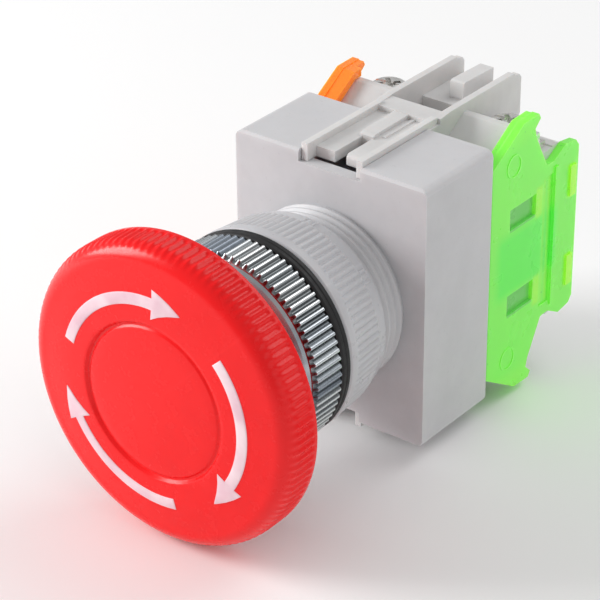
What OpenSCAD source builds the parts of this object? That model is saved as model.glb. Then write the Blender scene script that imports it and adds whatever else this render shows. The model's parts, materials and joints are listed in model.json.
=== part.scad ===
// Panel-mounted emergency stop button with a twist-release mushroom head,
// a base housing and a contact block with one NC and one NO contact.
// The origin is the centre of the panel hole, on the panel's front plane.
// -Y points out of the panel to the operator, +Z is up. Millimetres.

/* [Mushroom head] */
// Diameter of the mushroom cap
cap_d = 41.4; // [40:0.2:42]
// Grooves around the cap's rim
cap_grooves = 114; // [60:2:140]
// Distance from the panel to the rear lip of the cap
cap_lift = 15; // [14.8:0.1:15.2]
// Depth of the rim, from the rear lip to the front shoulder
rim_depth = 5.8; // [5.4:0.1:6.2]
// Diameter of the centre disc
disc_d = 20.6; // [18:0.2:21.4]
// Height of the centre disc above the front shoulder
crown = 0.85; // [0.7:0.05:1]

/* [Motion] */
// Travel of the head when it is pressed
travel = 5.5; // [4:0.1:5.5]
// Travel of the contact bridges, less than the head's
bridge_travel = 4.3; // [3:0.1:4.3]
// Outward travel of the latch pawls when the cap is twisted
pawl_travel = 0.7; // [0.4:0.1:0.7]

/* [Bezel, gasket and nut] */
// Outer diameter of the knurled bezel ring
bezel_d = 28.8; // [28:0.2:30]
// Ridges around the bezel ring
bezel_ridges = 80; // [40:2:100]
// Thickness of the rubber gasket
gasket_t = 1.8; // [1.2:0.1:2]
// Outer diameter of the lock nut at its front rim
nut_d = 28.6; // [28.2:0.2:30]
// Length of the lock nut
nut_len = 8.9; // [8.4:0.1:9]
// Ribs around the lock nut
nut_ribs = 90; // [40:2:100]

/* [Barrel] */
// Outer diameter of the barrel that goes through the panel hole
barrel_d = 21.8; // [21.4:0.1:22]
// Bore of the barrel
barrel_bore_d = 17.4; // [17.2:0.1:17.6]

/* [Base housing] */
// Width of the base housing
base_w = 30.6; // [30:0.2:32]
// Height of the base housing
base_h = 37.9; // [37.4:0.1:39]
// Depth of the base housing
base_depth = 14.8; // [14.8:0.1:15.2]
// Distance from the panel to the front of the base housing
base_y = 14.2; // [14.2:0.1:14.6]

/* [Contact block] */
// Rear end of the contact block's body
block_end = 50.2; // [50:0.1:51]
// Distance of each contact's centre line from the axis
contact_x = 9.8; // [9.7:0.1:9.9]
// Distance of the terminal screws behind the panel
screw_y = 40.8; // [40.7:0.1:41]
// Height of the top of the wire terminals
terminal_z = 13.7; // [13.6:0.1:13.9]

/* [Hidden] */
$fn = 96;
eps = 0.01;
run_gap = 0.1;             // radial clearance of a running fit
cap_r = cap_d / 2;
disc_r = disc_d / 2;
rim_y = -cap_lift - rim_depth;          // front shoulder of the cap
disc_y = rim_y - crown;                 // face of the centre disc
shoulder_r = 2.6;
face_r0 = disc_r + 0.85;                // cap face, inner and outer radius
face_r1 = cap_r - shoulder_r;
face_y0 = disc_y + 0.2;
bezel_r = bezel_d / 2;
bezel_front = -7.1;                     // front of the knurling
nose_y = -10.6;                         // front of the conical nose
nut_r = nut_d / 2;
barrel_r = barrel_d / 2;
bore_r = barrel_bore_d / 2;
collar_r = 12.35;                       // crests of the base's threaded collar
collar_y = 5.4;
hub_r = 6.9;                            // hub of the cap
hub_y = -9.6;
stem_r = 4.0;
sleeve_r = 6.1;                         // pusher sleeve inside the latch ring
flange_y = -9.1;                        // front flange of the pusher
bar_y = 19.9;                           // crossbar of the pusher
bar_t = 2.6;
latch_y = 4.4;                          // front of the latch ring
latch_len = 5.2;
pawl_y = 7.0;                           // centre of the pawls
pawl_out = bore_r - 0.15 - pawl_travel; // outer end of the pawls at rest
pawl_in = pawl_out - 1.65;              // inner end of the pawls at rest
base_end = base_y + base_depth;
block_y = base_end + 0.2;               // front of the contact block
side_x0 = 5.2;                          // half width of the block's spine
side_x1 = base_w / 2 - 1.2;             // sides of the block, under the covers
cover_t = 1.1;
ledge_y = block_y + 7.7;                // top of the sloping front of the sides
well_z = terminal_z - 0.9;              // floor of the terminal wells
step_y = 45.2;                          // rear end of the terminal wells
cavity_z = 10.9;
cavity_end = block_end - 0.8;
tip_r = 1.25;
tip_z = 6.2;                            // height of the contact tips
nc_face_y = 34.5;                       // fixed NC tips face the rear
no_face_y = 42.33;                      // fixed NO tips face the front
touch = 0.03;                           // gap left between closed tips
over_travel = travel - bridge_travel;
bridge_t = 0.8;
carrier_y = bar_y + bar_t + 0.1;        // nose of the carriers
carrier_end = 42.0;
carrier_seat = 39.6;                    // seat of the return springs
thread_pitch = 1.3;
screw_r = 1.75;
washer_t = 0.8;

// ---- helpers ----

// a point at radius r, at an angle clockwise from +Z as the operator sees it
function polar(r, a) = [r * sin(a), r * cos(a)];

// points of an arc about c, from angle a0 to a1
function arc(c, r, a0, a1, n = 8) =
    [for (i = [0:n]) let (a = a0 + (a1 - a0) * i / n) c + r * [cos(a), sin(a)]];

// a solid of revolution about the Y axis, from points [radius, y]
module turned(points) {
    rotate([-90, 0, 0]) rotate_extrude() polygon(points);
}

// a ring about the Y axis
module ring(r0, r1, y0, y1) {
    turned([[r0, y0], [r1, y0], [r1, y1], [r0, y1]]);
}

// a rod or bore along +Y
module rod(r, y0, y1) {
    translate([0, y0, 0]) rotate([-90, 0, 0]) cylinder(h = y1 - y0, r = r);
}

// a 2D outline in the XZ plane, extruded from y0 to y1
module front_plate(y0, y1) {
    translate([0, y1, 0]) rotate([90, 0, 0]) linear_extrude(y1 - y0) children();
}

// a 2D outline in the YZ plane, extruded from x0 to x1
module side_plate(x0, x1) {
    translate([x0, 0, 0]) rotate([90, 0, 90]) linear_extrude(x1 - x0) children();
}

// a box between two corners
module box(a, b) {
    translate(a) cube(b - a);
}

// children on the left and right, or top and bottom, of a symmetry plane
module both_sides() {
    children();
    mirror([1, 0, 0]) children();
}
module top_and_bottom() {
    children();
    mirror([0, 0, 1]) children();
}

// a toothed outline: n ridges between root and crest radii
module toothed(n, root, crest, top = 0.3, foot = 0.3) {
    polygon([for (i = [0:n - 1]) for (k = [[-foot / 2, root], [0.5 - top / 2, crest],
        [0.5 + top / 2, crest], [foot / 2, root]])
        if (k != [foot / 2, root]) polar(k[1], (i + k[0]) * 360 / n)
        else polar(root, (i + 1 - foot / 2 - eps) * 360 / n)]);
}

// a rectangle with rounded corners
module rounded_rect(w, h, r) {
    polygon([for (q = [[1, 1, 0], [-1, 1, 90], [-1, -1, 180], [1, -1, 270]])
        each arc([q[0] * (w / 2 - r), q[1] * (h / 2 - r)], r, q[2], q[2] + 90, 6)]);
}

// a helical spring along +Z with closed ends
module coil(r, wire, turns, length, steps = 18, sides = 8) {
    n = turns * steps;
    lead = length - wire;
    function at(i) = let (s = min(1, max(0, (i / steps - 0.6) / (turns - 1.2))))
        [r * cos(360 * i / steps), r * sin(360 * i / steps), wire / 2 + lead * s];
    points = [for (i = [0:n]) let (a = 360 * i / steps, c = at(i))
        for (k = [0:sides - 1]) let (b = 360 * k / sides)
            c + wire / 2 * [cos(b) * cos(a), cos(b) * sin(a), sin(b)]];
    faces = concat(
        [[for (k = [0:sides - 1]) k]],
        [for (i = [0:n - 1]) for (k = [0:sides - 1])
            let (a = i * sides, b = a + sides, k2 = (k + 1) % sides)
            each [[a + k, b + k, b + k2], [a + k, b + k2, a + k2]]],
        [[for (k = [sides - 1:-1:0]) n * sides + k]]);
    polyhedron(points, faces, convexity = 8);
}

// a spring along +Y from y0 to y1 at x
module spring_y(x, y0, y1, r, wire, turns) {
    translate([x, y0, 0]) rotate([-90, 0, 0]) coil(r, wire, turns, y1 - y0);
}

// ---- mushroom head ----

// position along Y of the cap's slightly bulging face, and the radii where it is drawn
function face_y(r) = let (t = (r - face_r0) / (face_r1 - face_r0))
    face_y0 + (rim_y - face_y0) * t - 0.12 * sin(180 * max(0, min(1, t)));
face_steps = [for (t = [0.125:0.125:0.875]) face_r0 + t * (face_r1 - face_r0)];

module arrow_outline() {
    shaft = [13.15, 14.7];
    head = [11.9, 15.8];
    polygon(concat(
        [for (a = [47.5:6:119.5]) polar(shaft[1], a)],
        [polar(shaft[1], 122), polar(head[1], 122), polar(14.4, 139.5), polar(head[0], 122),
         polar(shaft[0], 122)],
        [for (a = [119.5:-6:47.5]) polar(shaft[0], a)]));
}

// the three arrows as inlays that follow the cap's face
module arrow_inlay(proud) {
    intersection() {
        front_plate(disc_y - 2, rim_y + 3) union() {
            for (a = [0, 120, 240]) rotate(-a) arrow_outline();
        }
        turned(concat([for (r = face_steps) [r, face_y(r) - proud]],
            [for (i = [len(face_steps) - 1:-1:0]) [face_steps[i], face_y(face_steps[i]) + 0.4]]));
    }
}

module cap_body() {
    groove_y0 = rim_y + shoulder_r + 0.1;
    groove_y1 = -cap_lift - 0.75;
    root = cap_r - 0.38;
    turned(concat(
        [[0, disc_y], [disc_r - 0.35, disc_y], [disc_r - 0.1, disc_y + 0.12],
         [disc_r + 0.1, disc_y + 0.62], [disc_r + 0.5, disc_y + 0.66], [face_r0, face_y0]],
        [for (r = face_steps) [r, face_y(r)]],
        arc([face_r1, rim_y + shoulder_r], shoulder_r, -90, 0, 6),
        [[cap_r, groove_y0], [root, groove_y0 + 0.35], [root, groove_y1 - 0.3],
         [cap_r, groove_y1], [cap_r, -cap_lift - 0.3], [cap_r - 0.3, -cap_lift],
         [cap_r - 2.2, -cap_lift], [cap_r - 2.4, -cap_lift - 2.9], [cap_r - 3, -cap_lift - 3.4],
         [hub_r, -cap_lift - 3.4], [hub_r, hub_y], [6.2, hub_y], [6.2, -cap_lift],
         [stem_r + 0.55, -cap_lift], [stem_r + 0.55, -18.8], [0, -18.8]]));
    front_plate(groove_y0 - 0.1, groove_y1 + 0.1) difference() {
        toothed(cap_grooves, root - 0.1, cap_r - 0.04, 0.4, 0.2);
        circle(r = cap_r - 1.5);
    }
}

module mushroom_cap() {
    color([0.90, 0.12, 0.13]) difference() {
        cap_body();
        arrow_inlay(1);
    }
}

module cap_arrows() {
    color([0.95, 0.86, 0.88]) arrow_inlay(0.1);
}

module bezel_ring() {
    root = bezel_r - 0.55;
    seat_r = 12.6;
    color([0.80, 0.81, 0.83]) difference() {
        union() {
            intersection() {
                front_plate(bezel_front - 0.2, -gasket_t)
                    toothed(bezel_ridges, root, bezel_r + 0.1, 0.16, 0.34);
                turned([[0, bezel_front - 0.3], [root - 0.3, bezel_front - 0.3],
                        [bezel_r, bezel_front + 0.2], [bezel_r, -gasket_t - 0.2],
                        [bezel_r - 0.25, -gasket_t], [0, -gasket_t]]);
            }
            turned([[0, nose_y], [9.9, nose_y], [10.6, nose_y + 0.25], [13.4, bezel_front - 0.5],
                    [13.75, bezel_front], [0, bezel_front]]);
        }
        rod(hub_r + 0.25, nose_y - 1, 0);
        rod(8.62, nose_y + 0.6, nose_y + 1.4);
        rod(bore_r, nose_y + 1.4 - eps, 0);
        rod(seat_r, -5.8, 0);
    }
}

module stem_seal() {
    color([0.08, 0.08, 0.09]) turned([[hub_r + 0.1, nose_y + 0.85], [hub_r + 0.35, nose_y + 0.6],
        [8.62, nose_y + 0.6], [8.62, nose_y + 1.4], [hub_r + 0.35, nose_y + 1.4],
        [hub_r + 0.1, nose_y + 1.15]]);
}

module panel_gasket() {
    lip = 0.25;
    color([0.06, 0.06, 0.07]) turned([[barrel_r + 0.05, -gasket_t], [nut_r - lip, -gasket_t],
        [nut_r, -gasket_t + lip], [nut_r, -lip], [nut_r - lip, 0], [barrel_r + 0.05, 0]]);
}

module lock_nut() {
    bore = collar_r + run_gap;
    rib_y0 = 1.7;
    rib_y1 = 7.0;
    groups = 8;
    module ribs(y0, y1, r0, r1) {
        intersection() {
            front_plate(y0, y1) toothed(nut_ribs, 13.0, nut_r, 0.42, 0.2);
            turned([[0, y0], [r0 - 0.2, y0], [r0, y0 + 0.25], [r1, y1 - 0.35], [r1 - 0.3, y1],
                    [0, y1]]);
        }
    }
    color([0.80, 0.80, 0.82]) difference() {
        union() {
            turned([[bore, 0], [nut_r - 0.15, 0], [nut_r, 0.15], [nut_r, 1.2],
                    [nut_r - 0.3, rib_y0 - 0.1], [13.85, rib_y0 + 0.1], [13.3, rib_y1],
                    [13.2, nut_len - 0.2], [13.0, nut_len], [bore, nut_len]]);
            ribs(rib_y0 - 0.3, rib_y1, nut_r - 0.05, 13.75);
            intersection() {
                ribs(rib_y1 - 0.6, nut_len - 0.5, 13.6, 13.5);
                front_plate(0, nut_len) for (i = [0:groups - 1])
                    rotate(-i * 360 / groups - 2) translate([-1, 0]) square([2, nut_r + 1]);
            }
        }
        rod(bore, -1, nut_len + 1);
    }
}

// ---- barrel and latch ----

module operator_barrel() {
    color([0.16, 0.16, 0.17]) turned(concat(
        [[bore_r, -5.8], [12.5, -5.8], [12.5, -gasket_t - 0.05], [barrel_r - 0.4, -gasket_t - 0.05],
         [barrel_r - 0.4, 0.2]],
        [for (i = [9:-1:0]) each [[barrel_r - 0.4, 13.4 - i * 1.3], [barrel_r, 13.7 - i * 1.3],
            [barrel_r, 14.0 - i * 1.3], [barrel_r - 0.4, 14.3 - i * 1.3]]],
        [[barrel_r, 14.6], [barrel_r, 17.2], [9.9, 17.2], [9.9, 18.5], [barrel_r, 18.5],
         [barrel_r, 19.1], [barrel_r - 0.3, 19.4], [bore_r, 19.4]]));
}

module latch_ring() {
    color([0.85, 0.85, 0.80]) difference() {
        ring(sleeve_r + 0.15, bore_r - 0.05, latch_y, latch_y + latch_len);
        box([-bore_r - 1, pawl_y - 1.35, -1.5], [bore_r + 1, pawl_y + 1.35, 1.5]);
    }
}

// the pawl on the +X side
module latch_pawl() {
    color([0.70, 0.71, 0.73]) difference() {
        intersection() {
            side_plate(pawl_in, pawl_out) polygon([[pawl_y - 1.25, -1.4], [pawl_y + 1.25, -1.4],
                [pawl_y + 1.25, 1.4], [pawl_y - 1.25, 1.4]]);
            rod(pawl_out - 0.05, 0, 12);
        }
        translate([pawl_out - 0.9, pawl_y, 0]) rotate([0, 90, 0]) cylinder(h = 3, r = 0.75);
    }
}
module latch_pawl_left() { mirror([1, 0, 0]) latch_pawl(); }
module latch_pawl_right() { latch_pawl(); }

module pawl_spring() {
    color([0.78, 0.79, 0.80]) translate([pawl_out - 0.88, pawl_y, 0])
        rotate([0, 90, 0]) coil(0.5, 0.2, 4, 1.7, 12, 6);
}
module pawl_spring_left() { mirror([1, 0, 0]) pawl_spring(); }
module pawl_spring_right() { pawl_spring(); }

// ---- pusher, stem and their springs ----

module pusher() {
    groove_y = pawl_y - travel;
    color([0.15, 0.35, 0.75]) difference() {
        union() {
            turned([[stem_r + run_gap, flange_y], [bore_r - run_gap, flange_y],
                [bore_r - run_gap, flange_y + 1.2], [sleeve_r, flange_y + 1.2],
                [sleeve_r, groove_y - 1.4], [sleeve_r - 0.7, groove_y - 1.4],
                [sleeve_r - 0.7, groove_y + 1.4], [sleeve_r, groove_y + 1.4],
                [sleeve_r, 13.5], [bore_r - run_gap, 13.5], [bore_r - run_gap, bar_y + eps],
                [stem_r + run_gap, bar_y + eps]]);
            front_plate(bar_y, bar_y + bar_t) difference() {
                union() {
                    rounded_rect(2 * contact_x + 5, 6.4, 1);
                    circle(r = bore_r - run_gap);
                }
                circle(r = stem_r + run_gap);
            }
        }
        box([-sleeve_r - 1, groove_y - 1.4, -1.6], [sleeve_r + 1, groove_y + 1.4, 1.6]);
    }
}

module twist_stem() {
    cam_y = pawl_y - travel;
    clip_y = bar_y + bar_t;
    color([0.86, 0.86, 0.82]) difference() {
        turned([[0, -18.6], [stem_r + 0.2, -18.6], [stem_r + 0.5, -18.3], [stem_r + 0.5, -cap_lift],
            [stem_r, -cap_lift], [stem_r, clip_y + 0.1], [3.3, clip_y + 0.1],
            [3.3, clip_y + 0.7], [stem_r, clip_y + 0.7], [stem_r, clip_y + 1.3],
            [stem_r - 0.4, clip_y + 1.7], [0, clip_y + 1.7]]);
        both_sides() box([stem_r - 0.7, cam_y - 1.5, -5], [stem_r + 1, cam_y + 1.5, 5]);
        rod(1.6, 4, clip_y + 2);
    }
}

module stem_clip() {
    y0 = bar_y + bar_t + 0.15;
    color([0.55, 0.56, 0.58]) front_plate(y0, y0 + 0.5) difference() {
        circle(r = 5.2);
        circle(r = 3.35);
        translate([-1.6, 0]) square([3.2, 6]);
    }
}

module return_spring() {
    color([0.78, 0.79, 0.80]) spring_y(0, flange_y + 1.25, latch_y - 0.05, 7.4, 0.9, 6);
}

module twist_spring() {
    color([0.78, 0.79, 0.80]) spring_y(0, -cap_lift + 0.05, flange_y - 0.05, 5.3, 0.7, 5);
}

// a steel fork in the barrel's rear groove, inside the base housing
module barrel_clip() {
    color([0.72, 0.73, 0.75]) front_plate(17.3, 18.4) difference() {
        rounded_rect(25, 25, 2);
        circle(r = 9.95);
        translate([-9.95, -20]) square([19.9, 20]);
    }
}

// ---- base housing ----

module base_housing() {
    wall = 1.6;
    front_wall = 2.2;
    channel = 4.95;
    edge = 0.35;
    inner_y = base_y + front_wall;
    color([0.80, 0.80, 0.82]) difference() {
        union() {
            intersection() {
                front_plate(base_y, base_end) rounded_rect(base_w, base_h, 1.1);
                side_plate(-base_w, base_w) polygon([
                    [base_y + edge, base_h / 2], [base_end, base_h / 2], [base_end, -base_h / 2],
                    [base_y + edge, -base_h / 2], [base_y, -base_h / 2 + edge],
                    [base_y, base_h / 2 - edge]]);
            }
            turned(concat([[barrel_r + 0.2, collar_y], [collar_r - 0.4, collar_y]],
                [for (i = [5:-1:0]) let (y = base_y - 0.9 - i * thread_pitch)
                    each [[collar_r - 0.4, y - 0.45], [collar_r, y - 0.1], [collar_r, y + 0.15],
                          [collar_r - 0.4, y + 0.5]]],
                [[collar_r - 0.4, base_y + 0.5], [barrel_r + 0.2, base_y + 0.5]]));
        }
        difference() {
            box([-base_w / 2 + wall, inner_y, -base_h / 2 + wall + 0.2],
                [base_w / 2 - wall, base_end + 1, base_h / 2 - wall - 0.2]);
            ring(barrel_r + 0.2, barrel_r + 2.2, inner_y - 1, inner_y + 0.8);
        }
        rod(barrel_r + 0.2, base_y - 1, inner_y + 2);
        top_and_bottom() {
            box([-channel, inner_y - 0.3, 16.9], [channel, base_end + 1, base_h]);
            box([-channel, base_y - 1, base_h / 2 - 1.7], [channel, inner_y, base_h]);
        }
    }
}

// ---- contact block ----

// side view of the block's sides, upper half
side_half = [[block_y, 0], [block_y, 13.4], [ledge_y - 0.3, 18.4], [ledge_y, 18.5],
    [ledge_y + 0.9, 18.5], [ledge_y + 0.9, well_z], [step_y, well_z], [step_y, 13.0],
    [46.6, 12.9], [block_end - 1, 11.6], [block_end, 10.6], [block_end, 0]];

function mirrored(half) = concat(half, [for (i = [len(half) - 1:-1:0]) [half[i][0], -half[i][1]]]);

// one side of the block, open to +X, with its contact chamber
module block_side() {
    difference() {
        side_plate(side_x0 - eps, side_x1) polygon(mirrored(side_half));
        box([side_x0 + 0.7, block_y + 1.2, -cavity_z], [side_x1 + 1, cavity_end, cavity_z]);
        box([contact_x - 2.3, block_y - 1, -2.75], [contact_x + 2.3, block_y + 2, 2.75]);
        translate([contact_x, 0, 0]) rod(1.3, cavity_end - 1, block_end + 1);
        top_and_bottom() {
            translate([contact_x, screw_y, 11.6]) cylinder(h = 6, r = screw_r + 0.25);
            // slots for the terminals' legs, at the front and at the rear of the tab
            box([contact_x - 1.5, 37.75, cavity_z - 1], [contact_x + 1.5, 38.65, well_z + 1]);
            box([contact_x - 1.5, 43.15, cavity_z - 1], [contact_x + 1.5, 44.05, well_z + 1]);
        }
    }
}

// the latch arm on top of the block, which slides into the housing's channel
module latch_arm() {
    arm_x = 4.75;
    arm_z = [17.3, 18.8];
    top_z = 19.75;
    rail = 0.85;
    plateau_y = 30.3;
    finger_y = 22.5;
    box([-arm_x, finger_y, arm_z[0]], [arm_x, block_y + 1, arm_z[1]]);
    box([-arm_x, plateau_y, 16], [arm_x, 33.7, top_z - 0.25]);
    box([-arm_x, 16.7, arm_z[0]], [-0.9, finger_y + 1, arm_z[1]]);
    // nose of the right finger, rounded under its front edge
    side_plate(0.7, arm_x) polygon(concat(
        [[finger_y + 1, arm_z[1]], [17.6, arm_z[1]]],
        arc([17.6, arm_z[1] - 0.6], 0.6, 90, 180, 5),
        [[17.0, arm_z[0]], [finger_y + 1, arm_z[0]]]));
    both_sides() box([arm_x - rail, 14.8, arm_z[0]], [arm_x + 0.1, plateau_y + 1, top_z]);
    side_plate(-1.3, 0.9) polygon([[finger_y, arm_z[1] - 0.2], [finger_y, 19.1], [23, 19.3],
        [plateau_y + 0.5, 19.45], [plateau_y + 0.5, arm_z[1] - 0.2]]);
    box([1.5, finger_y + 1.2, arm_z[1] - 0.2], [2.0, plateau_y + 0.5, 18.98]);
}

// fins, pocket and post behind the arm
module spine() {
    fin = 1.0;
    fin_z = 19.75;
    floor_z = 16.7;
    difference() {
        box([-side_x0, block_y, 0], [side_x0, block_end, 16.9]);
        box([-4.2, 33.7, 13.0], [4.2, 40.8, 20]);
    }
    box([-side_x0, block_y, 16], [side_x0, 33.7, 18.8]);
    both_sides() side_plate(side_x0 - fin, side_x0) polygon([[31.5, 16], [31.5, fin_z - 0.25],
        [33.7, fin_z], [block_end - 1.2, fin_z], [block_end - 0.9, fin_z - 0.4],
        [block_end + 0.1, fin_z - 0.5], [block_end + 0.6, fin_z - 1.1], [block_end + 0.6, 13.4],
        [block_end, 12.6], [40, 12]]);
    side_plate(-1.1, 1.1) polygon([[42.9, floor_z - 0.5], [42.7, 17.2], [42.9, 19.25],
        [43.3, 19.4], [block_end - 0.1, 19.2], [block_end - 0.1, floor_z - 0.5]]);
}

module contact_block() {
    color([0.80, 0.80, 0.81]) difference() {
        union() {
            both_sides() block_side();
            top_and_bottom() {
                spine();
                latch_arm();
            }
        }
        // hollow centre, open to the front, where the stem's end reaches in
        box([-4.1, block_y - 1, -9.5], [4.1, block_end - 1.2, 9.5]);
    }
}

// ---- covers ----

// side view of a cover, upper half
cover_half = [[block_y, 0], [block_y, 15.8], [block_y + 7.0, 20.0], [block_y + 10.5, 20.1],
    [block_y + 11.0, 19.3], [block_y + 9.8, 18.2], [block_y + 10.1, 16.9],
    [block_y + 13.0, 11.6], [block_y + 14.8, 11.5], [block_y + 17.6, 13.0],
    [block_y + 20.2, 12.6], [block_y + 21.0, 11.6], [block_y + 21.0, 0]];

// a snap-on side cover for the +X side
module side_cover() {
    x0 = side_x1 + 0.05;
    x1 = x0 + cover_t;
    difference() {
        union() {
            side_plate(x0, x1) polygon(mirrored(cover_half));
            top_and_bottom() {
                // rims along the sloping edge and the hook, over the block's ledge
                side_plate(x0 - 0.9, x0 + eps) polygon([[block_y + 0.2, 14.3],
                    [block_y + 0.2, 15.7], [block_y + 7.0, 19.9], [block_y + 10.4, 20.0],
                    [block_y + 10.7, 19.4], [block_y + 9.9, 18.75], [ledge_y - 0.6, 18.75]]);
                side_plate(x0 - 1.9, x0 - 0.8) polygon([[block_y + 0.2, 14.3],
                    [block_y + 0.2, 15.7], [block_y + 7.0, 19.9], [block_y + 8.5, 19.94],
                    [block_y + 8.5, 18.75], [ledge_y - 0.6, 18.75]]);
                side_plate(x1 - eps, x1 + 0.3) polygon([[48.0, 4.6], [49.4, 4.6], [49.4, 9.2],
                    [48.0, 9.2]]);
                // moulded ring for the terminal's number
                translate([x1 - eps, block_y + 4.9, 14.6]) rotate([0, 90, 0]) difference() {
                    cylinder(h = 0.12, r = 1.7);
                    translate([0, 0, -1]) cylinder(h = 3, r = 1.45);
                }
            }
            side_plate(x1 - eps, x1 + 0.25) polygon([[44.2, -10.6], [45.0, -10.6], [45.0, 10.6],
                [44.2, 10.6]]);
        }
        // recessed windows
        for (w = [[33.6, 5.2], [33.6, -7.8]])
            box([x1 - 0.5, w[0], w[1]], [x1 + 1, w[0] + 6.3, w[1] + 3.1]);
        // shallow panel between the bands
        box([x1 - 0.25, 41.6, -9.8], [x1 + 1, 44.0, 9.8]);
    }
    // snap tongues that grip the chamber's walls
    top_and_bottom() box([x0 - 2.2, 34, cavity_z - 1.0], [x0 + eps, 37.2, cavity_z - 0.1]);
}
module nc_cover() { color([1.0, 0.47, 0.10, 0.9]) mirror([1, 0, 0]) side_cover(); }
module no_cover() { color([0.45, 0.93, 0.36, 0.9]) side_cover(); }

// ---- contacts ----

// a carrier with a window for its bridge and contact spring
module carrier(x, window) {
    translate([x, 0, 0]) difference() {
        box([-2.2, carrier_y, -2.6], [2.2, carrier_end, 2.6]);
        box([-1.5, window[0], -4], [1.5, window[1], 4]);
        rod(1.65, carrier_seat, carrier_end + 1);
        both_sides() translate([2.2, carrier_y, 0]) rotate(45) cube([0.8, 0.8, 8], center = true);
    }
}
module nc_carrier() {
    color([0.90, 0.55, 0.25]) carrier(-contact_x, [nc_bridge_y - over_travel - 0.05, 38.6]);
}
module no_carrier() {
    color([0.35, 0.70, 0.35]) carrier(contact_x, [32.6, no_bridge_y + bridge_t + 0.05]);
}
no_bridge_y = no_face_y - touch - bridge_travel - 0.6 - bridge_t;
nc_bridge_y = nc_face_y + touch + 0.6;

// a bridge plate with raised ends, front face at y
module bridge(x, y) {
    color([0.82, 0.58, 0.32]) translate([x, 0, 0]) side_plate(-1.4, 1.4) polygon([
        [y, -7.8], [y + bridge_t, -7.8], [y + bridge_t, 7.8], [y, 7.8]]);
}
module nc_bridge() { bridge(-contact_x, nc_bridge_y); }
module no_bridge() { bridge(contact_x, no_bridge_y); }

// a pair of contact tips
module tips(x, y0, y1) {
    color([0.88, 0.88, 0.86]) top_and_bottom() translate([x, 0, tip_z]) rod(tip_r, y0, y1);
}
module nc_bridge_tips() { tips(-contact_x, nc_bridge_y - 0.6, nc_bridge_y); }
module no_bridge_tips() {
    tips(contact_x, no_bridge_y + bridge_t, no_bridge_y + bridge_t + 0.6);
}
module fixed_tips() {
    tips(-contact_x, nc_face_y - 0.7, nc_face_y);
    tips(contact_x, no_face_y, no_face_y + 0.7);
}

// a terminal: a tab with the screw's hole, and a leg down to the contact tip
module terminal(x, leg) {
    color([0.76, 0.75, 0.72]) top_and_bottom() translate([x, 0, 0]) {
        difference() {
            box([-3.2, 37.85, well_z + 0.02], [3.4, 44.8, terminal_z]);
            translate([0, screw_y, 10]) cylinder(h = 10, r = screw_r + run_gap);
        }
        side_plate(-1.4, 1.4) polygon(leg);
    }
}
module nc_terminals() {
    back = nc_face_y - 0.7;
    terminal(-contact_x, [[37.85, well_z + 0.5], [38.6, well_z + 0.5], [38.6, 9.6],
        [back, 9.6], [back, 4.4], [back - 0.8, 4.4], [back - 0.8, 10.4], [37.85, 10.4]]);
}
module no_terminals() {
    back = no_face_y + 0.7;
    terminal(contact_x, [[back + 0.17, well_z + 0.5], [back + 0.97, well_z + 0.5],
        [back + 0.97, 9.6], [back + 0.8, 9.4], [back + 0.8, 4.4], [back, 4.4], [back, 9.5],
        [back + 0.17, 9.8]]);
}

module contact_spring(x, y0, y1) {
    color([0.78, 0.79, 0.80]) spring_y(x, y0, y1, 1.1, 0.3, 4);
}
module nc_contact_spring() {
    contact_spring(-contact_x, nc_bridge_y + bridge_t + 0.02, 38.58);
}
module no_contact_spring() { contact_spring(contact_x, 32.62, no_bridge_y - 0.02); }

module carrier_spring(x) {
    color([0.78, 0.79, 0.80]) spring_y(x, carrier_seat + 0.05, cavity_end - 0.05, 1.25, 0.4, 7);
}
module nc_return_spring() { carrier_spring(-contact_x); }
module no_return_spring() { carrier_spring(contact_x); }

// ---- terminal screws and washers ----

// children placed on the screw axis of one terminal, pointing up or down
module at_terminal(side, up) {
    mirror([0, 0, up > 0 ? 0 : 1]) translate([side * contact_x, screw_y, 0]) children();
}

module screw() {
    seat = terminal_z + 2 * washer_t;
    head_r = 2.75;
    color([0.75, 0.76, 0.77]) difference() {
        rotate_extrude() polygon(concat(
            [[0, 11.8], [screw_r - 0.4, 11.8], [screw_r, 12.2], [screw_r, seat], [head_r, seat],
             [head_r, seat + 1.1]],
            arc([head_r - 0.9, seat + 1.1], 0.9, 0, 90, 5),
            [[0, seat + 2.1]]));
        for (a = [45, 135]) rotate(a) translate([-1.6, -0.35, seat + 1.0]) cube([3.2, 0.7, 2]);
        translate([-3, -0.3, seat + 1.5]) cube([6, 0.6, 1]);
    }
}

module clamp_washer() {
    color([0.74, 0.74, 0.74]) difference() {
        union() {
            translate([-3.0, -2.9, terminal_z + 0.02]) cube([6.0, 6.1, 0.7]);
            for (s = [-1, 1]) translate([s * 2.65, 0.15, terminal_z + 0.9])
                cube([0.7, 6.1, 0.9], center = true);
        }
        cylinder(h = 40, r = screw_r + 0.1);
    }
}

module split_washer() {
    z0 = terminal_z + washer_t;
    color([0.70, 0.71, 0.73]) difference() {
        translate([0, 0, z0]) cylinder(h = washer_t - 0.05, r = 2.25);
        cylinder(h = 40, r = screw_r + 0.1);
        translate([0, -0.2, z0 - 1]) rotate([0, 25, 0]) cube([4, 0.4, 3]);
    }
}

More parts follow.
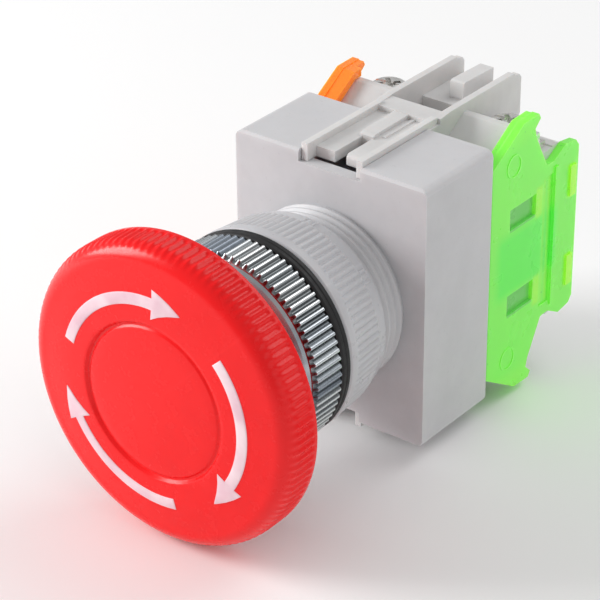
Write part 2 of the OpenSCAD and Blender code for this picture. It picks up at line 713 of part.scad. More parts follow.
mushroom_cap();
cap_arrows();
bezel_ring();
stem_seal();
panel_gasket();
lock_nut();
operator_barrel();
latch_ring();
latch_pawl_left();
latch_pawl_right();
pawl_spring_left();
pawl_spring_right();
pusher();
twist_stem();
stem_clip();
return_spring();
twist_spring();
barrel_clip();
base_housing();
contact_block();
nc_cover();
no_cover();
nc_carrier();
no_carrier();
nc_bridge();
no_bridge();
nc_bridge_tips();
no_bridge_tips();
nc_terminals();
no_terminals();
fixed_tips();
nc_contact_spring();
no_contact_spring();
nc_return_spring();
no_return_spring();
at_terminal(-1, 1) screw();  // terminal_screw_nc_top
at_terminal(-1, -1) screw();  // terminal_screw_nc_bottom
at_terminal(1, 1) screw();  // terminal_screw_no_top
at_terminal(1, -1) screw();  // terminal_screw_no_bottom
at_terminal(-1, 1) clamp_washer();  // clamp_washer_nc_top
at_terminal(-1, -1) clamp_washer();  // clamp_washer_nc_bottom
at_terminal(1, 1) clamp_washer();  // clamp_washer_no_top
at_terminal(1, -1) clamp_washer();  // clamp_washer_no_bottom
at_terminal(-1, 1) split_washer();  // split_washer_nc_top
at_terminal(-1, -1) split_washer();  // split_washer_nc_bottom
at_terminal(1, 1) split_washer();  // split_washer_no_top
at_terminal(1, -1) split_washer();  // split_washer_no_bottom
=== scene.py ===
import bmesh
import bpy
import json
import math
from mathutils import Matrix, Vector


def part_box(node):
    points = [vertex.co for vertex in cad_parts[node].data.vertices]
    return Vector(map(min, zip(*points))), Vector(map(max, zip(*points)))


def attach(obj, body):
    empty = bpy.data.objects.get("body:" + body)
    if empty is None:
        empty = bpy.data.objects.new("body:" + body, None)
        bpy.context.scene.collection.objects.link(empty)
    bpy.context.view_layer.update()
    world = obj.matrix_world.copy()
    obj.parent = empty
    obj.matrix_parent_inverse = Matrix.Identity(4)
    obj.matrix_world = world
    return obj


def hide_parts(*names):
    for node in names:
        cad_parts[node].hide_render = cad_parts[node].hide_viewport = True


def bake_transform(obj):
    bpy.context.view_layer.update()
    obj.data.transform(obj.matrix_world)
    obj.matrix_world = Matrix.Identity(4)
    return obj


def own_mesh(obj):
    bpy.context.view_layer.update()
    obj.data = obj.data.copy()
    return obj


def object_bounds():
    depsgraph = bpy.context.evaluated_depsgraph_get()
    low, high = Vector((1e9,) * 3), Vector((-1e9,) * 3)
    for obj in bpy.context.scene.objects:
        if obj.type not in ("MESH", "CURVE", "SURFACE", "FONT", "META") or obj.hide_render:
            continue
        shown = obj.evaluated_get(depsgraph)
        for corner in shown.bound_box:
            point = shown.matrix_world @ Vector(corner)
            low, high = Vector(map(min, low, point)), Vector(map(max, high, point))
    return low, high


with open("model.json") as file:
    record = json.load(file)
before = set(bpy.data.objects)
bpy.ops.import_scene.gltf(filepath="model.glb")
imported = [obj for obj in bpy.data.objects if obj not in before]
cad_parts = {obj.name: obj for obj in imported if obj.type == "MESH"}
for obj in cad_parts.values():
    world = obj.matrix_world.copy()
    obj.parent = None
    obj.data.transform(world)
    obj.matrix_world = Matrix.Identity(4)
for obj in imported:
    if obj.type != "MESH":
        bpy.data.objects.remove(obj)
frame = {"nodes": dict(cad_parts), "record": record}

CAD_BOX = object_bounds()
MM = 0.001                               # metres
PRESS_TRAVEL, PAWL_TRAVEL = 5.5, 0.7     # millimetres, as in the record's joints
NODES = dict(frame["nodes"])
SLOT_OF = {p["node"]: p["material_slot"] for p in frame["record"]["subparts"]}


# ---------------------------------------------------------------- camera

def make_camera():
    """A long lens at the photograph's angle. Angles are in degrees and the place in millimetres."""
    azimuth, elevation, roll = 37.567, 29.989, -0.280
    place = Vector((174.09, -215.07, 160.45)) * MM
    a, e, r = (math.radians(v) for v in (azimuth, elevation, roll))
    back = Vector((math.sin(a) * math.cos(e), -math.cos(a) * math.cos(e), math.sin(e)))
    level = Vector((math.cos(a), math.sin(a), 0))
    upright = back.cross(level)
    right = level * math.cos(r) + upright * math.sin(r)
    up = back.cross(right)
    data = bpy.data.cameras.new("camera")
    data.lens, data.sensor_width = 150.76, 36
    data.shift_x, data.shift_y = -0.026, 0.0449
    data.clip_start, data.clip_end = 0.01, 20
    camera = bpy.data.objects.new("camera", data)
    facing = Matrix((right, up, back)).transposed().to_4x4()
    camera.matrix_world = Matrix.Translation(place) @ facing
    bpy.context.scene.collection.objects.link(camera)
    bpy.context.scene.camera = camera


make_camera()


# ---------------------------------------------------------------- node materials

MATERIALS = {}


class Shader:
    """A small builder for one procedural material around a Principled shader."""

    def __init__(self, name, **constants):
        self.mat = MATERIALS[name] = bpy.data.materials.new(name)
        self.mat.use_nodes = True
        self.tree = self.mat.node_tree
        self.bsdf = self.tree.nodes["Principled BSDF"]
        for key, value in constants.items():
            self.bsdf.inputs[key.replace("_", " ")].default_value = value

    def node(self, kind, **settings):
        """A new node, with inputs or properties set by name."""
        n = self.tree.nodes.new(kind)
        for key, value in settings.items():
            if key in n.inputs:
                n.inputs[key].default_value = value
            else:
                setattr(n, key, value)
        return n

    def link(self, a, b):
        self.tree.links.new(a, b)

    def coords(self, stretch=(1, 1, 1)):
        """Object coordinates in metres, stretched."""
        tc = self.node("ShaderNodeTexCoord")
        mapping = self.node("ShaderNodeMapping")
        mapping.inputs["Scale"].default_value = stretch
        self.link(tc.outputs["Object"], mapping.inputs["Vector"])
        return mapping.outputs["Vector"]

    def noise(self, scale, detail=4, rough=0.6, stretch=(1, 1, 1)):
        n = self.node("ShaderNodeTexNoise", Scale=scale, Detail=detail, Roughness=rough)
        self.link(self.coords(stretch), n.inputs["Vector"])
        return n.outputs["Fac"]

    def ramp(self, value, stops):
        """A colour ramp of (position, colour) stops."""
        r = self.node("ShaderNodeValToRGB")
        while len(r.color_ramp.elements) < len(stops):
            r.color_ramp.elements.new(0.5)
        for element, (place, color) in zip(r.color_ramp.elements, stops):
            element.position = place
            element.color = (*color, 1)
        self.link(value, r.inputs["Fac"])
        return r.outputs["Color"]

    def map(self, value, lo, hi, to_lo, to_hi):
        """value mapped from lo..hi to to_lo..to_hi, and held at the ends."""
        m = self.node("ShaderNodeMapRange")
        for key, v in zip(("From Min", "From Max", "To Min", "To Max"), (lo, hi, to_lo, to_hi)):
            m.inputs[key].default_value = v
        self.link(value, m.inputs["Value"])
        return m.outputs["Result"]

    def mix(self, factor, a, b):
        """Colour a where factor is 0 and b where it is 1."""
        m = self.node("ShaderNodeMix", data_type="RGBA")
        colors = [s for s in m.inputs if s.type == "RGBA"]
        for socket, value in ((m.inputs[0], factor), (colors[0], a), (colors[1], b)):
            if isinstance(value, bpy.types.NodeSocket):
                self.link(value, socket)
            elif isinstance(value, (int, float)):
                socket.default_value = value
            else:
                socket.default_value = (*value, 1)
        return [s for s in m.outputs if s.type == "RGBA"][0]

    def math(self, operation, *values):
        m = self.node("ShaderNodeMath", operation=operation)
        for socket, value in zip(m.inputs, values):
            if isinstance(value, bpy.types.NodeSocket):
                self.link(value, socket)
            else:
                socket.default_value = value
        return m.outputs[0]

    def axis(self, index):
        """One object coordinate in millimetres."""
        parts = self.node("ShaderNodeSeparateXYZ")
        self.link(self.coords((1 / MM,) * 3), parts.inputs[0])
        return parts.outputs[index]

    def radius(self):
        """Distance from the button's axis in millimetres."""
        length = self.node("ShaderNodeVectorMath", operation="LENGTH")
        self.link(self.coords((1 / MM, 0, 1 / MM)), length.inputs[0])
        return length.outputs["Value"]

    def around(self, scale):
        """Smooth noise that only varies with the angle about the button's axis."""
        angle = self.math("ARCTAN2", self.axis(0), self.axis(2))
        n = self.node("ShaderNodeTexNoise", noise_dimensions="1D", Scale=scale, Detail=2)
        self.link(angle, n.inputs["W"])
        return n.outputs["Fac"]

    def between(self, value, lo, hi, soft=0.25):
        """1 between two limits, with soft ends."""
        return self.math("MULTIPLY", self.map(value, lo - soft, lo + soft, 0, 1),
                         self.map(value, hi - soft, hi + soft, 1, 0))

    def edges(self, strength=1.0):
        """About strength on convex edges and 0 on flats."""
        g = self.node("ShaderNodeNewGeometry")
        return self.map(g.outputs["Pointiness"], 0.52, 0.62, 0, strength)

    def bump(self, *layers):
        """Stacked bumps of (height, strength, distance in millimetres)."""
        normal = None
        for height, strength, distance in layers:
            b = self.node("ShaderNodeBump", Strength=strength, Distance=distance * MM)
            self.link(height, b.inputs["Height"])
            if normal is not None:
                self.link(normal, b.inputs["Normal"])
            normal = b.outputs["Normal"]
        self.link(normal, self.bsdf.inputs["Normal"])

    def set(self, key, output):
        """Links a varying output to one of the shader's inputs."""
        self.link(output, self.bsdf.inputs[key])


def plastic(name, color, darker, rough=(0.3, 0.42), grain=0.012, subsurface=0.0, coat=0.0,
            speck=0.0, ior=1.5):
    """Moulded plastic: a slightly cloudy colour, fine grain, soft scratches and paler edges."""
    s = Shader(name, Coat_Weight=coat, Coat_Roughness=0.12, Subsurface_Weight=subsurface,
               Subsurface_Scale=0.0015, IOR=ior)
    s.bsdf.inputs["Subsurface Radius"].default_value = (1, 0.8, 0.7)
    base = s.ramp(s.noise(180, 3), [(0.3, darker), (0.62, color)])
    pale = tuple(min(1, c * 1.12 + 0.01) for c in color)
    base = s.mix(s.edges(0.35), base, pale)
    if speck:
        spots = s.map(s.noise(1400, 2, 0.5), 0.68, 0.74, 0, speck)
        base = s.mix(spots, base, tuple(c * 0.45 for c in color))
    s.set("Base Color", base)
    s.set("Roughness", s.map(s.noise(420, 5), 0.3, 0.7, *rough))
    scratch = s.noise(900, 3, 0.5, stretch=(1, 9, 1))
    s.bump((s.noise(5200, 2), 0.25, grain), (scratch, 0.18, grain), (s.noise(260, 2), 0.25, 0.05))


def metal(name, color, rough=(0.16, 0.34), brushed=(1, 1, 1), tarnish=0.25):
    """Plated or rolled metal: directional brushing, cloudy roughness and darker tarnish."""
    s = Shader(name, Metallic=1.0, IOR=1.8)
    scale = 700    # brush marks per metre
    dull = tuple(c * (1 - tarnish) for c in color)
    base = s.ramp(s.noise(350, 5, 0.65), [(0.35, dull), (0.6, color)])
    bright = tuple(min(1, c * 1.15) for c in color)
    s.set("Base Color", s.mix(s.edges(), base, bright))
    s.set("Roughness", s.map(s.noise(scale, 5, 0.6, brushed), 0.3, 0.7, *rough))
    s.bump((s.noise(scale * 2, 3, 0.6, brushed), 0.2, 0.008), (s.noise(500, 2), 0.15, 0.02))


def rubber(name, color):
    """Matt rubber with a fine grain."""
    s = Shader(name, IOR=1.45)
    dark = tuple(c * 0.6 for c in color)
    s.set("Base Color", s.ramp(s.noise(500, 4), [(0.35, dark), (0.65, color)]))
    s.set("Roughness", s.map(s.noise(900, 4), 0.3, 0.7, 0.42, 0.65))
    s.bump((s.noise(4000, 3), 0.4, 0.02))


def chrome(name):
    """Polished plating with painted light: a painted highlight on the knurl's crests, painted shade
    in its flutes, and painted reflections as soft light and dark streaks around the axis."""
    s = Shader(name, Metallic=1.0, IOR=1.8)
    flute_r, crest_r = 13.5, 14.4
    # painted highlight on the crests and painted shade in the flutes, chosen by radius
    base = s.ramp(s.map(s.radius(), flute_r, crest_r, 0, 1), [
        (0.0, (0.52, 0.54, 0.56)), (0.22, (0.52, 0.54, 0.56)), (0.36, (0.27, 0.285, 0.29)),
        (0.66, (0.16, 0.17, 0.175)), (0.86, (0.3, 0.31, 0.32)), (0.97, (0.85, 0.86, 0.87))])
    # painted reflections: light and dark streaks that vary with the angle round the axis
    painted_reflection_streaks = s.ramp(s.around(2.2), [
        (0.38, (0.4, 0.44, 0.5)), (0.5, (0.85, 0.88, 0.9)), (0.64, (1, 1, 1))])
    painted_reflections = s.node("ShaderNodeMix", data_type="RGBA", blend_type="MULTIPLY")
    colors = [k for k in painted_reflections.inputs if k.type == "RGBA"]
    painted_reflections.inputs[0].default_value = 1
    s.link(base, colors[0])
    s.link(painted_reflection_streaks, colors[1])
    s.set("Base Color", [k for k in painted_reflections.outputs if k.type == "RGBA"][0])
    s.set("Roughness", s.map(s.noise(500, 5, 0.6, (1, 6, 1)), 0.3, 0.7, 0.16, 0.34))
    s.bump((s.noise(1200, 3, 0.6, (1, 6, 1)), 0.15, 0.006), (s.noise(420, 2), 0.15, 0.02))


# y from and to, distance from the middle from and to, softness, all in millimetres; tint, weight
COVER_ZONES = (
    (31, 45, -1, 4.6, 0.9, "deep", 0.85),           # middle, between the windows
    (33.7, 39.8, 4.9, 8.1, 0.15, "shade_and_specks", 0.7),    # windows: painted shade in their recesses
    (39.9, 41.5, 4.5, 9, 0.3, "pale", 0.6),         # behind the windows
    (42.0, 42.5, -1, 9.4, 0.25, "pale", 0.35),      # two lines in the shallow panel
    (43.1, 43.6, -1, 9.4, 0.25, "pale", 0.35),
    (47.8, 49.6, 4.4, 9.4, 0.25, "pale", 0.9),      # pads at the rear
    (30, 41, 17.3, 25, 0.9, "pale", 0.15),          # hooks
)


def cover_plastic(name, color, deep, shade_and_specks, pale):
    """Fluorescent translucent plastic, with a painted glow from emission in its own colour; painted
    shade darkens the recessed windows, the colour is deeper between them and paler along the pads
    and rims."""
    # Emission_Strength gives a painted glow: the plastic shines in its own colour, brighter than
    # the lamps make it
    s = Shader(name, IOR=1.49, Transmission_Weight=0.04, Subsurface_Weight=0.6,
               Subsurface_Scale=0.002, Coat_Weight=0.25, Coat_Roughness=0.1, Emission_Strength=0.2)
    s.bsdf.inputs["Subsurface Radius"].default_value = tuple(0.35 + c for c in color)
    y, z = s.axis(1), s.math("ABSOLUTE", s.axis(2))
    tone = tuple(0.85 * a + 0.15 * b for a, b in zip(color, deep))
    base = s.ramp(s.noise(60, 1), [(0.3, tone), (0.65, color)])
    tints = {"deep": deep, "shade_and_specks": shade_and_specks, "pale": pale}
    for lo, hi, inner, outer, soft, tint, weight in COVER_ZONES:
        # each zone mixes in its tint; over the windows this is painted shade
        mask = s.math("MULTIPLY", s.between(y, lo, hi, soft), s.between(z, inner, outer, soft))
        base = s.mix(s.math("MULTIPLY", mask, weight), base, tints[tint])
    # real specks, in the same colour as the windows' painted shade
    specks = s.map(s.noise(700, 2, 0.5), 0.72, 0.75, 0, 0.35)
    base = s.mix(specks, base, shade_and_specks)
    s.set("Base Color", base)
    # painted glow, in the colour of the zones and specks above
    s.set("Emission Color", base)
    s.set("Roughness", s.map(s.noise(220, 2), 0.3, 0.7, 0.26, 0.32))
    s.bump((s.noise(3600, 2), 0.02, 0.004))


plastic("red_cap", (0.95, 0.006, 0.008), (0.91, 0.005, 0.007), (0.22, 0.3),
        0.003, 0.05, 0.1, ior=1.34)
plastic("arrow_print", (0.93, 0.74, 0.78), (0.80, 0.50, 0.58), (0.3, 0.45), 0.008)
chrome("bezel_chrome")
rubber("seal_rubber", (0.012, 0.012, 0.013))
rubber("gasket_rubber", (0.012, 0.012, 0.013))
plastic("nut_plastic", (0.57, 0.57, 0.59), (0.54, 0.54, 0.56), (0.25, 0.4), 0.006, 0.25)
plastic("barrel_plastic", (0.025, 0.025, 0.028), (0.015, 0.015, 0.017))
plastic("natural_plastic", (0.80, 0.78, 0.70), (0.72, 0.70, 0.62), subsurface=0.2)
metal("plated_steel", (0.62, 0.63, 0.64), (0.22, 0.4), (1, 5, 1))
metal("spring_steel", (0.55, 0.56, 0.57), (0.2, 0.35))
plastic("blue_plastic", (0.03, 0.12, 0.55), (0.02, 0.09, 0.45))
plastic("housing_plastic", (0.62, 0.615, 0.63), (0.58, 0.575, 0.59), (0.32, 0.44),
        0.008, 0.2, speck=0.1)
plastic("block_plastic", (0.71, 0.70, 0.695), (0.65, 0.64, 0.635), (0.32, 0.44),
        0.008, 0.25, speck=0.1)
# colours: own, deeper, painted shade of the windows (also the specks), paler
cover_plastic("orange_cover", (1.0, 0.23, 0.012), (0.95, 0.15, 0.008), (0.55, 0.09, 0.01),
              (1.0, 0.34, 0.04))
cover_plastic("green_cover", (0.22, 0.88, 0.085), (0.10, 0.84, 0.075), (0.10, 0.42, 0.10),
              (0.42, 0.98, 0.05))
plastic("carrier_plastic", (0.80, 0.78, 0.70), (0.72, 0.70, 0.62))
metal("bridge_copper", (0.80, 0.45, 0.22), (0.2, 0.38), (1, 1, 8))
metal("contact_silver", (0.85, 0.85, 0.83), (0.15, 0.3))
metal("terminal_tin", (0.70, 0.69, 0.66), (0.2, 0.36), (1, 8, 1))
metal("screw_nickel", (0.93, 0.92, 0.90), (0.2, 0.38), (1, 1, 1), 0.2)


# ---------------------------------------------------------------- mesh helpers

def rounded(corners, steps=4):
    """A closed outline with rounded corners, from (a, b, radius) or (a, b, radius, weight)."""
    points = []
    for i, corner in enumerate(corners):
        before, here, after = (Vector((c[0], c[1], c[3] if len(c) > 3 else 0))
                               for c in (corners[i - 1], corner, corners[(i + 1) % len(corners)]))
        to_a, to_b = before - here, after - here
        long_a, long_b = to_a.xy.length, to_b.xy.length
        if corner[2] <= 0 or min(long_a, long_b) < 1e-6:
            points.append(here)
            continue
        half = to_a.xy.angle(to_b.xy, math.pi) / 2
        reach = min(corner[2] / max(math.tan(half), 1e-3), 0.48 * long_a, 0.48 * long_b)
        start, end = here + to_a * (reach / long_a), here + to_b * (reach / long_b)
        for k in range(steps + 1):
            t = k / steps
            points.append(start * (1 - t) ** 2 + here * (2 * t * (1 - t)) + end * t ** 2)
    return points


def make_piece(name, verts, faces, slot, body, covers, sharp):
    """A piece from millimetre vertices, riding on a body in place of the CAD nodes it covers."""
    mesh = bpy.data.meshes.new(name)
    mesh.from_pydata([Vector(v) * MM for v in verts], [], faces)
    mark_sharp(mesh, sharp, weld=True)
    obj = bpy.data.objects.new(name, mesh)
    bpy.context.scene.collection.objects.link(obj)
    mesh.materials.append(MATERIALS[slot])
    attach(obj, body)
    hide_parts(*covers)
    return obj


def mark_sharp(mesh, degrees, weld=False):
    """Smooth shading with creases where faces meet at more than this angle."""
    bm = bmesh.new()
    bm.from_mesh(mesh)
    if weld:
        bmesh.ops.remove_doubles(bm, verts=bm.verts, dist=1e-7)
        bmesh.ops.recalc_face_normals(bm, faces=bm.faces)
    limit = math.radians(degrees)
    for edge in bm.edges:
        edge.smooth = len(edge.link_faces) == 2 and edge.calc_face_angle(0) < limit
    for face in bm.faces:
        face.smooth = True
    bm.to_mesh(mesh)
    bm.free()


PLAIN = (192, [(0, 0)])    # no teeth, 192 facets


def revolved(outline, teeth=PLAIN, extra=None):
    """Vertices and faces of a closed outline of (radius, y, weight), turned about the Y axis.
    teeth is (count, [(phase, depth in millimetres)]): the radius drops by weight times depth.
    extra(tooth, depth, y, radius) may add to the radius."""
    count, profile = teeth
    steps = [(k, (k + phase) / count * 2 * math.pi, depth)
             for k in range(count) for phase, depth in profile]
    verts, faces, rings = [], [], []
    for radius, y, weight in outline:
        if radius < 1e-6:
            rings.append([len(verts)] * len(steps))
            verts.append((0, y, 0))
            continue
        rings.append(range(len(verts), len(verts) + len(steps)))
        for k, angle, depth in steps:
            r = radius - weight * depth + (extra(k, depth, y, radius) if extra else 0)
            verts.append((r * math.sin(angle), y, r * math.cos(angle)))
    for i, ring in enumerate(rings):
        other = rings[(i + 1) % len(rings)]
        for j in range(len(steps)):
            k = (j + 1) % len(steps)
            corners = list(dict.fromkeys((ring[j], ring[k], other[k], other[j])))
            if len(corners) > 2:
                faces.append(corners)
    return verts, faces


def turn(name, corners, slot, body, covers, teeth=PLAIN, sharp=40, extra=None):
    """A piece turned about the Y axis from (radius, y, corner radius, tooth weight) corners."""
    verts, faces = revolved(rounded(corners), teeth, extra)
    make_piece(name, verts, faces, slot, body, covers, sharp)


def soften(name, width, segments=3, angle=32):
    """Rounds the edges of a piece that has the CAD's flat faces, by a width in millimetres."""
    obj = NODES[name]
    mark_sharp(obj.data, angle)
    bevel = obj.modifiers.new("soft_edges", "BEVEL")
    bevel.width, bevel.segments, bevel.limit_method = width * MM, segments, "ANGLE"
    bevel.angle_limit = math.radians(angle)
    bevel.harden_normals = True
    bevel.use_clamp_overlap = True
    obj.modifiers.new("weighted", "WEIGHTED_NORMAL").keep_sharp = True


def copy_of(node_name, name, reshape=None):
    """A piece with a mesh of its own, in the shape of the CAD node that it stands for, which
    reshape(bmesh) may change."""
    node = NODES[node_name]
    bm = bmesh.new()
    bm.from_mesh(node.data)
    bm.transform(node.matrix_world)
    if reshape:
        reshape(bm)
    mesh = bpy.data.meshes.new(name)
    bm.to_mesh(mesh)
    bm.free()
    mark_sharp(mesh, 50, weld=True)
    piece = bpy.data.objects.new(name, mesh)
    bpy.context.scene.collection.objects.link(piece)
    mesh.materials.append(MATERIALS[SLOT_OF[node_name]])
    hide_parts(node_name)
    return piece


def make_green_cover():
    """The green cover, with the rim along the slope only as wide as the rim round the hook."""
    rim_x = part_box("no_cover")[1].x - 2.3 * MM    # inner face of the hook's rim
    rim_z = 14 * MM                               # the snap tongues lie nearer to the middle

    def narrow(bm):
        for vert in bm.verts:
            if abs(vert.co.z) > rim_z:
                vert.co.x = max(vert.co.x, rim_x)
        bmesh.ops.remove_doubles(bm, verts=bm.verts, dist=1e-5)
        bmesh.ops.dissolve_degenerate(bm, edges=bm.edges, dist=1e-6)

    cover = copy_of("no_cover", "green_side_cover", narrow)
    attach(cover, "base")
    NODES["no_cover"] = cover


def make_springs():
    """Copies of the springs with meshes of their own: five attached to the base, and two contact
    springs whose placement is baked into their meshes."""
    x_axis, y_axis, low_end, high_end = 0, 1, 0, 1
    for node, joint, axis, fixed_end, travel in (
            ("return_spring", "press_slide", y_axis, high_end, PRESS_TRAVEL),
            ("nc_return_spring", "nc_carrier_slide", y_axis, high_end, PRESS_TRAVEL),
            ("no_return_spring", "no_carrier_slide", y_axis, high_end, PRESS_TRAVEL),
            ("pawl_spring_left", "pawl_left_slide", x_axis, low_end, PAWL_TRAVEL),
            ("pawl_spring_right", "pawl_right_slide", x_axis, high_end, PAWL_TRAVEL)):
        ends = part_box(node)
        anchor = (ends[0] + ends[1]) / 2
        anchor[axis] = ends[fixed_end][axis]
        piece = copy_of(node, node + "_coil")
        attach(piece, "base")
        direction = Vector((0, 0, 0))
        direction[axis] = 1
        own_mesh(piece)
    for node, front, rear in (("nc_contact_spring", "nc_bridge", "nc_carrier"),
                              ("no_contact_spring", "no_carrier", "no_bridge")):
        piece = copy_of(node, node + "_coil")
        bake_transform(piece)


# ---------------------------------------------------------------- mushroom head

CAP_LOW, CAP_HIGH = (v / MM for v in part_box("mushroom_cap"))
CAP_FRONT, CAP_R = CAP_LOW.y, CAP_HIGH.x
LIP_Y = -15.0                     # rear lip of the cap
RIM_Y = CAP_FRONT + 0.85          # front of the shoulder
SHOULDER = 2.6                    # radius of the shoulder
FACE = 11.15, CAP_R - SHOULDER    # radii between which the face slopes
FACE_DROP, FACE_BULGE = 0.2, 0.12


def face_y(r):
    """Height of the cap's face at radius r: a shallow crowned cone."""
    t = (r - FACE[0]) / (FACE[1] - FACE[0])
    slope = CAP_FRONT + FACE_DROP + t * (RIM_Y - CAP_FRONT - FACE_DROP)
    return slope - FACE_BULGE * math.sin(math.pi * min(1, max(0, t)))


def make_cap():
    """The mushroom head: a slightly domed disc in a ring groove, and ribs that fade out over the
    shoulder."""
    rib = (114, [(0, 0), (0.1, 0.03), (0.2, 0.1), (0.3, 0.18), (0.4, 0.24), (0.5, 0.26),
                 (0.6, 0.24), (0.7, 0.18), (0.8, 0.1), (0.9, 0.03)])
    rib_start, rib_fade = 0.6, 1.9
    dome, disc_r, hub_r, hub_end_r, bore_r, bore_y = 0.34, 9.9, 6.9, 6.2, 4.55, -18.8
    inside_y = LIP_Y - 3.4
    disc = [(r, CAP_FRONT + dome * (r / disc_r) ** 2, 0) for r in (0, 3, 5, 7, 8.6, 9.6)]
    face = [(r, face_y(r), 0) for r in (12.2, 13.4, 14.6, 15.8, 17.0)]
    shoulder = []
    for k in range(13):
        a = math.radians(-90 + 7.5 * k)
        y = RIM_Y + SHOULDER + SHOULDER * math.sin(a)
        weight = min(1, max(0, (y - RIM_Y - rib_start) / rib_fade))
        shoulder.append((FACE[1] + SHOULDER * math.cos(a), y, 0, weight))
    turn("red_mushroom_cap", disc + [
        (10.05, CAP_FRONT + 0.4, 0.12), (10.3, CAP_FRONT + 0.62, 0.1),
        (10.6, CAP_FRONT + 0.64, 0.12), (10.9, CAP_FRONT + 0.24, 0.15), (11.2, face_y(11.2), 0.1)]
        + face + shoulder + [
        (CAP_R, LIP_Y - 1.25, 0.1, 1), (CAP_R, LIP_Y - 0.85, 0.05, 0.15),
        (CAP_R - 0.02, LIP_Y - 0.35, 0.2), (CAP_R - 0.35, LIP_Y, 0.2), (CAP_R - 2.2, LIP_Y, 0.25),
        (CAP_R - 2.4, LIP_Y - 2.9, 0.5), (CAP_R - 3, inside_y, 0.3), (hub_r, inside_y, 0.5),
        (hub_r, CAP_HIGH.y, 0.25), (hub_end_r, CAP_HIGH.y, 0.1), (hub_end_r, LIP_Y, 0),
        (bore_r, LIP_Y, 0), (bore_r, bore_y, 0), (0, bore_y, 0)],
        "red_cap", "head", ["mushroom_cap"], rib, sharp=50)


def arrow_outline():
    """Outline of one arrow on the face, as (radius, degrees clockwise from the top)."""
    inner, outer, tail, neck, tip = 13.15, 14.7, 47.7, 122, 139.6
    barb_out, barb_in, barb = 15.85, 11.85, neck - 0.3    # rear corners of the arrow's head
    tip_out, tip_r, tip_in = 14.45, 14.4, 14.35
    bend = range(0, 25)
    points = [(outer, tail + (neck - tail) * i / 24) for i in bend]
    points += [(barb_out, barb)]
    points += [(barb_out + (tip_out - barb_out) * t, barb + (tip - neck) * t)
               for t in (0.3, 0.6, 0.95)]
    points += [(tip_r, tip)]
    points += [(tip_in + (barb_in - tip_in) * t, tip + (barb - tip) * t) for t in (0.05, 0.4, 0.7)]
    points += [(barb_in, barb)]
    points += [(inner, tail + (neck - tail) * i / 24) for i in reversed(bend)]
    return points


def make_arrows():
    """Three raised, softly edged arrows that follow the face."""
    rings = ((0, -0.25), (0, 0.03), (0.04, 0.075), (0.12, 0.1))    # inset, lift above the face
    verts, faces = [], []
    for turn_by in (0, 120, 240):
        places = []
        for r, a in arrow_outline():
            angle = math.radians(a + turn_by)
            places.append(Vector((r * math.sin(angle), r * math.cos(angle))))
        n = len(places)
        inward = []
        for i, here in enumerate(places):
            along = (places[(i + 1) % n] - places[i - 1]).normalized()
            inward.append(Vector((along.y, -along.x)))
        start = len(verts)
        for inset, lift in rings:
            for here, inside in zip(places, inward):
                p = here + inside * inset
                verts.append((p.x, face_y(here.length) - lift, p.y))
        top = len(rings) - 1
        for ring in range(top):
            for i in range(n):
                a, b = start + ring * n + i, start + ring * n + (i + 1) % n
                faces.append((a, b, b + n, a + n))
        faces.append(range(start, start + n))
        faces.append(range(start + top * n, start + (top + 1) * n))
    obj = make_piece("turn_arrows", verts, faces, "arrow_print", "head", ["cap_arrows"], 50)
    bm = bmesh.new()
    bm.from_mesh(obj.data)
    bmesh.ops.triangulate(bm, faces=[f for f in bm.faces if len(f.verts) > 4])
    bm.to_mesh(obj.data)
    bm.free()


make_cap()
make_arrows()


# ---------------------------------------------------------------- bezel, gasket and nut

def make_bezel():
    """A knurled ring with round crests and flutes, and a conical nose."""
    low, high = (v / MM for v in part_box("bezel_ring"))
    r, nose, rear = high.x, low.y, high.y
    knurl, recess_y, recess_r, barrel_r, seal_r, mouth_r = -7.1, -5.8, 12.6, 8.7, 8.62, 7.15
    flute = (80, [(-0.12, 0.03), (0, 0), (0.12, 0.03), (0.2, 0.1), (0.28, 0.22), (0.36, 0.31),
                  (0.43, 0.37), (0.5, 0.39), (0.57, 0.37), (0.64, 0.31), (0.72, 0.22), (0.8, 0.1)])
    turn("chrome_bezel", [
        (mouth_r, nose, 0.1), (9.9, nose, 0.3), (10.7, nose + 0.3, 0.5), (13.35, knurl - 0.6, 0.2),
        (13.62, knurl - 0.22, 0.08), (13.78, knurl - 0.12, 0.04, 0), (r, knurl + 0.25, 0.06, 1),
        (r, rear - 0.3, 0.08, 1), (r - 0.2, rear, 0.06, 0.7), (recess_r, rear, 0),
        (recess_r, recess_y, 0), (barrel_r, recess_y, 0), (barrel_r, nose + 1.4, 0),
        (seal_r, nose + 1.4, 0), (seal_r, nose + 0.6, 0), (mouth_r, nose + 0.6, 0)],
        "bezel_chrome", "base", ["bezel_ring"], flute, sharp=42)


def make_gasket():
    """A flat rubber ring with a fine groove round its edge."""
    low, high = (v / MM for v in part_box("panel_gasket"))
    r, front, rear, bore = high.x, low.y, high.y, 10.95
    turn("rubber_gasket", [
        (bore, front, 0), (r - 0.25, front, 0.2), (r, front + 0.3, 0.15), (r, front + 0.75, 0.05),
        (r - 0.12, front + 0.9, 0.06), (r, front + 1.05, 0.05), (r, rear - 0.25, 0.15),
        (r - 0.2, rear, 0.1), (bore, rear, 0)],
        "gasket_rubber", "base", ["panel_gasket"], sharp=60)


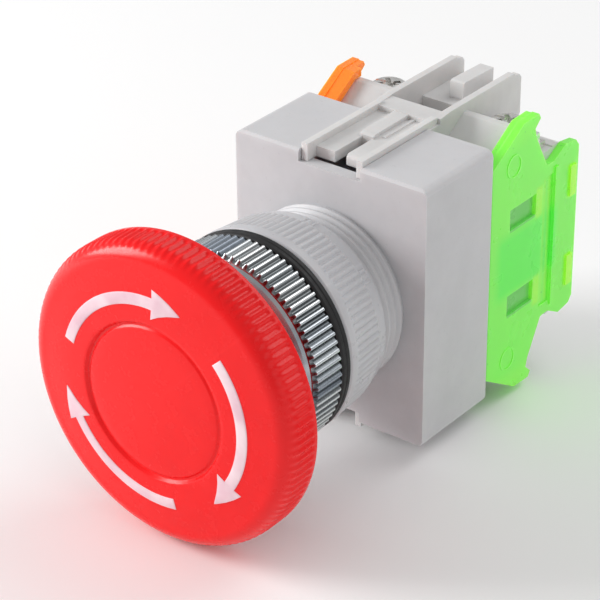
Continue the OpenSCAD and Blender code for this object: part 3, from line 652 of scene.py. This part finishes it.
def make_nut():
    """Soft moulded ribs on a taper, a smooth rear band, and short rib ends in eight places."""
    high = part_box("lock_nut")[1] / MM
    r, rear, bore = high.x, high.y, 12.45
    rib_depth = 0.28
    rib = (90, [(0, 0), (0.12, 0.015), (0.22, 0.06), (0.32, 0.15), (0.41, 0.25), (0.5, rib_depth),
                (0.59, 0.25), (0.68, 0.15), (0.78, 0.06), (0.88, 0.015)])
    ends_y, ends_half, ends_height = 7.7, 0.75, 0.22    # the short rib ends in the rear band
    ends_every, ends_at, ends_width = 45, 5, 4.6        # degrees round the nut

    def rib_ends(tooth, depth, y, radius):
        away = abs((tooth * 4 - ends_at + ends_every / 2) % ends_every - ends_every / 2)
        inside = max(0, 1 - abs(y - ends_y) / ends_half) if radius > bore + 0.2 else 0
        height = ends_height * (1 - depth / rib_depth) * min(1, 2 * inside)
        return height if away < ends_width else 0

    turn("ribbed_lock_nut", [
        (bore, 0, 0.05), (r - 0.25, 0, 0.15), (r, 0.3, 0.15), (r, 1.15, 0.15),
        (r - 0.05, 1.45, 0.05, 0), (r - 0.08, 1.9, 0.15, 1), (13.85, 6.6, 0.2, 1),
        (13.42, 7.05, 0.12, 0), (13.38, 7.35, 0), (13.35, ends_y, 0), (13.3, 8.05, 0),
        (13.27, 8.4, 0), (13.2, rear - 0.2, 0.15), (13.0, rear, 0.1), (bore, rear, 0.05)],
        "nut_plastic", "nut", ["lock_nut"], rib, sharp=50, extra=rib_ends)


make_bezel()
make_gasket()
make_nut()


# ---------------------------------------------------------------- pieces with the CAD's own shape

for name, node in NODES.items():
    node.data.materials.clear()
    node.data.materials.append(MATERIALS[SLOT_OF[name]])
make_green_cover()
make_springs()
soften("base_housing", 0.45, 3)
soften("contact_block", 0.25)
for name in ("nc_cover", "no_cover"):
    soften(name, 0.4, 4)
SMALL_METAL = "terminal_screw", "clamp_washer", "split_washer"
for name in NODES:
    if name.startswith(SMALL_METAL) or name.endswith("terminals"):
        soften(name, 0.08, 2)


# ---------------------------------------------------------------- stage and light

def make_stage():
    """A plain pale floor, half a millimetre under the lowest point."""
    bpy.ops.mesh.primitive_plane_add(size=4, location=(0, 0, CAD_BOX[0][2] - 0.5 * MM))
    floor = bpy.context.active_object
    floor.name = "floor"
    s = Shader("floor_paper", Roughness=0.9)
    s.set("Base Color", s.ramp(s.noise(6, 2), [(0.3, (0.96,) * 3), (0.7, (0.98,) * 3)]))
    floor.data.materials.append(s.mat)


def area_light(name, place, target, size, power):
    """A soft rectangular light: metres and watts."""
    data = bpy.data.lights.new(name, "AREA")
    data.shape, data.size, data.size_y, data.energy = "RECTANGLE", size[0], size[1], power
    light = bpy.data.objects.new(name, data)
    light.location = place
    light.rotation_euler = (Vector(target) - Vector(place)).to_track_quat("-Z", "Y").to_euler()
    bpy.context.scene.collection.objects.link(light)


def make_light():
    """Key from the left, weak fill from the right, a light above and behind, and an even world."""
    area_light("key", (-0.46, -0.27, 0.22), (0, 0, 0), (0.3, 0.3), 2.85)
    area_light("fill", (0.56, -0.10, 0.18), (0, 0.01, 0), (0.4, 0.4), 0.26)
    area_light("rear", (0.15, 0.36, 0.46), (0, 0.02, 0), (0.5, 0.4), 1.1)
    world = bpy.data.worlds.new("studio")
    bpy.context.scene.world = world
    world.use_nodes = True
    background = world.node_tree.nodes["Background"]
    background.inputs["Color"].default_value = (1, 1, 1, 1)
    background.inputs["Strength"].default_value = 0.46
    bpy.context.scene.view_settings.view_transform = "Standard"


make_stage()
make_light()
